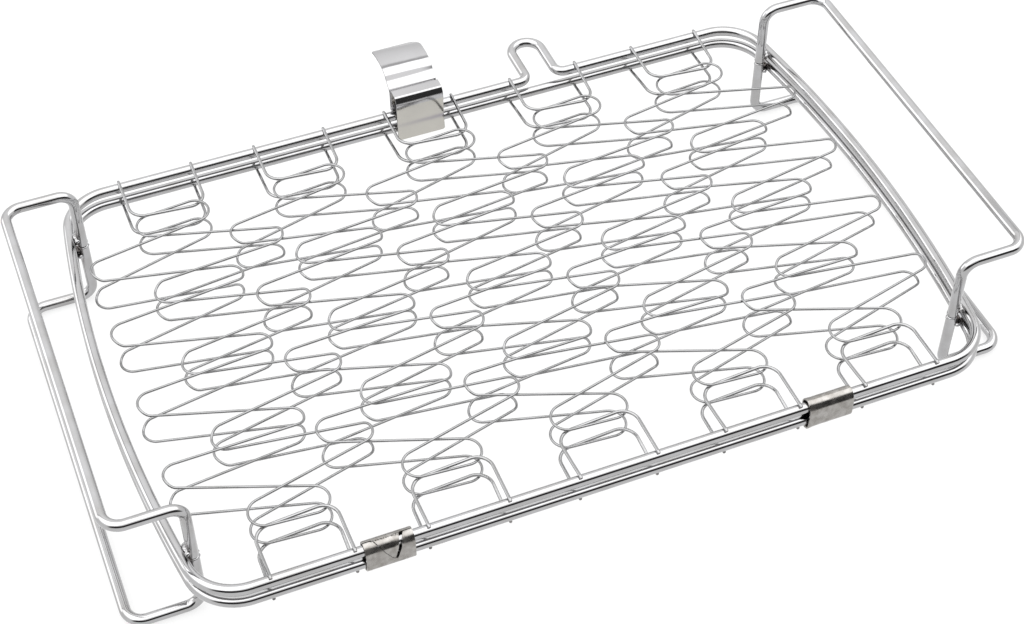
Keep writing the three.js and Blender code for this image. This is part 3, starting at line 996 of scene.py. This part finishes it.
def on_plate(point):
    """1 on the wall in front of the rails and its lip, 0 on the rest of the latch."""
    return float(point.y < BACK_Y - ROD_RADIUS and point.z < RAIL_Z["upper"] + LATCH_HEADROOM - 1 * MM)


def crease_painted_shade(point, left, right):
    """How much painted shade darkens the crease above the lip, stronger to the right."""
    from_crease = (point.z - RAIL_Z["upper"] + RAIL_SPACING / 2) / CREASE_SHADE_WIDTH
    across = (point.x - left) / (right - left)
    return math.exp(-from_crease ** 2) * (0.25 + 0.75 * across) * on_plate(point)


def corner_cut(distance, radius):
    """How far a rounded corner cuts in, at a distance from the end."""
    if distance >= radius:
        return 0.0
    return radius - math.sqrt(max(0.0, radius ** 2 - (radius - distance) ** 2))


# ---- Studio ----

def build_camera():
    a, e = CAMERA_AZIMUTH, CAMERA_ELEVATION
    back = Vector((math.sin(a) * math.cos(e), -math.cos(a) * math.cos(e), math.sin(e)))
    right = Vector((math.cos(a), math.sin(a), 0))
    turn = Matrix((right, back.cross(right), back)).transposed().to_4x4()
    camera = bpy.data.objects.new("camera", bpy.data.cameras.new("camera"))
    bpy.context.scene.collection.objects.link(camera)
    camera.matrix_world = Matrix.Translation(CAMERA_PLACE) @ turn @ Matrix.Rotation(CAMERA_ROLL, 4, "Z")
    camera.data.lens = CAMERA_LENS
    camera.data.sensor_width = SENSOR_WIDTH
    camera.data.clip_start = NEAR_CLIP
    bpy.context.scene.camera = camera


def build_floor():
    half = FLOOR_HALF
    corners = [(-half, -half, 0), (half, -half, 0), (half, half, 0), (-half, half, 0)]
    floor = new_mesh("floor", corners, [(0, 1, 2, 3)])
    made = Nodes("pale_floor")
    made.shader.inputs["Base Color"].default_value = FLOOR_GREY
    made.shader.inputs["Roughness"].default_value = 0.9
    made.shader.inputs["Specular IOR Level"].default_value = 0.1
    made.shader.inputs["Emission Color"].default_value = WHITE
    made.shader.inputs["Emission Strength"].default_value = FLOOR_GLOW
    floor.data.materials.append(made.material)


class Sky:
    """Short forms for making a world's light from the direction that is looked in."""

    def __init__(self, world):
        world.use_nodes = True
        self.tree = world.node_tree
        self.direction = self.tree.nodes.new("ShaderNodeTexCoord").outputs["Generated"]
        split = self.tree.nodes.new("ShaderNodeSeparateXYZ")
        self.tree.links.new(self.direction, split.inputs["Vector"])
        self.forward = split.outputs["Y"]
        self.up = split.outputs["Z"]

    def ramp(self, value, low, high, to_low=0.0, to_high=1.0):
        node = self.tree.nodes.new("ShaderNodeMapRange")
        node.interpolation_type = "SMOOTHSTEP"
        node.inputs["From Min"].default_value = low
        node.inputs["From Max"].default_value = high
        node.inputs["To Min"].default_value = to_low
        node.inputs["To Max"].default_value = to_high
        self.tree.links.new(value, node.inputs["Value"])
        return node.outputs["Result"]

    def product(self, first, *others):
        for other in others:
            node = self.tree.nodes.new("ShaderNodeMath")
            node.operation = "MULTIPLY"
            self.tree.links.new(first, node.inputs[0])
            self.tree.links.new(other, node.inputs[1])
            first = node.outputs["Value"]
        return first

    def near(self, aim):
        """Cosine of the angle from a direction."""
        node = self.tree.nodes.new("ShaderNodeVectorMath")
        node.operation = "DOT_PRODUCT"
        node.inputs[1].default_value = aim
        self.tree.links.new(self.direction, node.inputs[0])
        return node.outputs["Value"]

    def blend(self, light, share, radiance):
        node = self.tree.nodes.new("ShaderNodeMix")
        node.data_type = "FLOAT"
        self.tree.links.new(light, node.inputs["A"])
        node.inputs["B"].default_value = radiance
        self.tree.links.new(share, node.inputs["Factor"])
        return node.outputs["Result"]


def build_world():
    """A white tent with a bright box overhead, a dim rim behind the box, a lamp low at the back on the left
    and a dark opening on the camera's side."""
    world = bpy.data.worlds.new("studio")
    bpy.context.scene.world = world
    sky = Sky(world)
    above = sky.ramp(sky.up, *BOX_FOOT)
    box = sky.product(sky.ramp(sky.forward, *BOX_BACK), sky.ramp(sky.forward, *BOX_FRONT), above)
    rim = sky.product(sky.ramp(sky.forward, *RIM_BACK), sky.ramp(sky.forward, *RIM_FRONT), above)
    lamp = sky.ramp(sky.near(SIDE_LAMP), *SIDE_LAMP_EDGE)
    band = sky.product(sky.ramp(sky.up, *OPENING_FOOT), sky.ramp(sky.up, *OPENING_TOP))
    opening = sky.product(sky.ramp(sky.forward, *OPENING_BACK), band)
    light = sky.ramp(sky.up, *SKY_SPAN, *TENT_LIGHT)
    for share, radiance in ((rim, RIM_LIGHT), (box, BOX_LIGHT), (lamp, BOX_LIGHT), (opening, BAND_LIGHT)):
        light = sky.blend(light, share, radiance)
    background = sky.tree.nodes["Background"]
    background.inputs["Color"].default_value = WHITE
    sky.tree.links.new(light, background.inputs["Strength"])


# ---- Assembly ----

def build_basket():
    for half in ("upper", "lower"):
        build_frame(half, half == "upper")
        build_handle(half, -1, "left")
        build_handle(half, 1, "right")
        for number in range(1, len(COLUMN_X) + 1):
            build_hook(half, "back", number)
            build_hook(half, "front", number)
            build_spring(half, number)
    build_sleeve("hinge_clip_left", tongue_seam, 0.0)
    build_sleeve("hinge_clip_right", under_seam, RIGHT_SLEEVE_OPENING)
    build_latch()


build_camera()
build_world()
build_floor()
build_basket()
bpy.context.scene.view_settings.view_transform = "Standard"
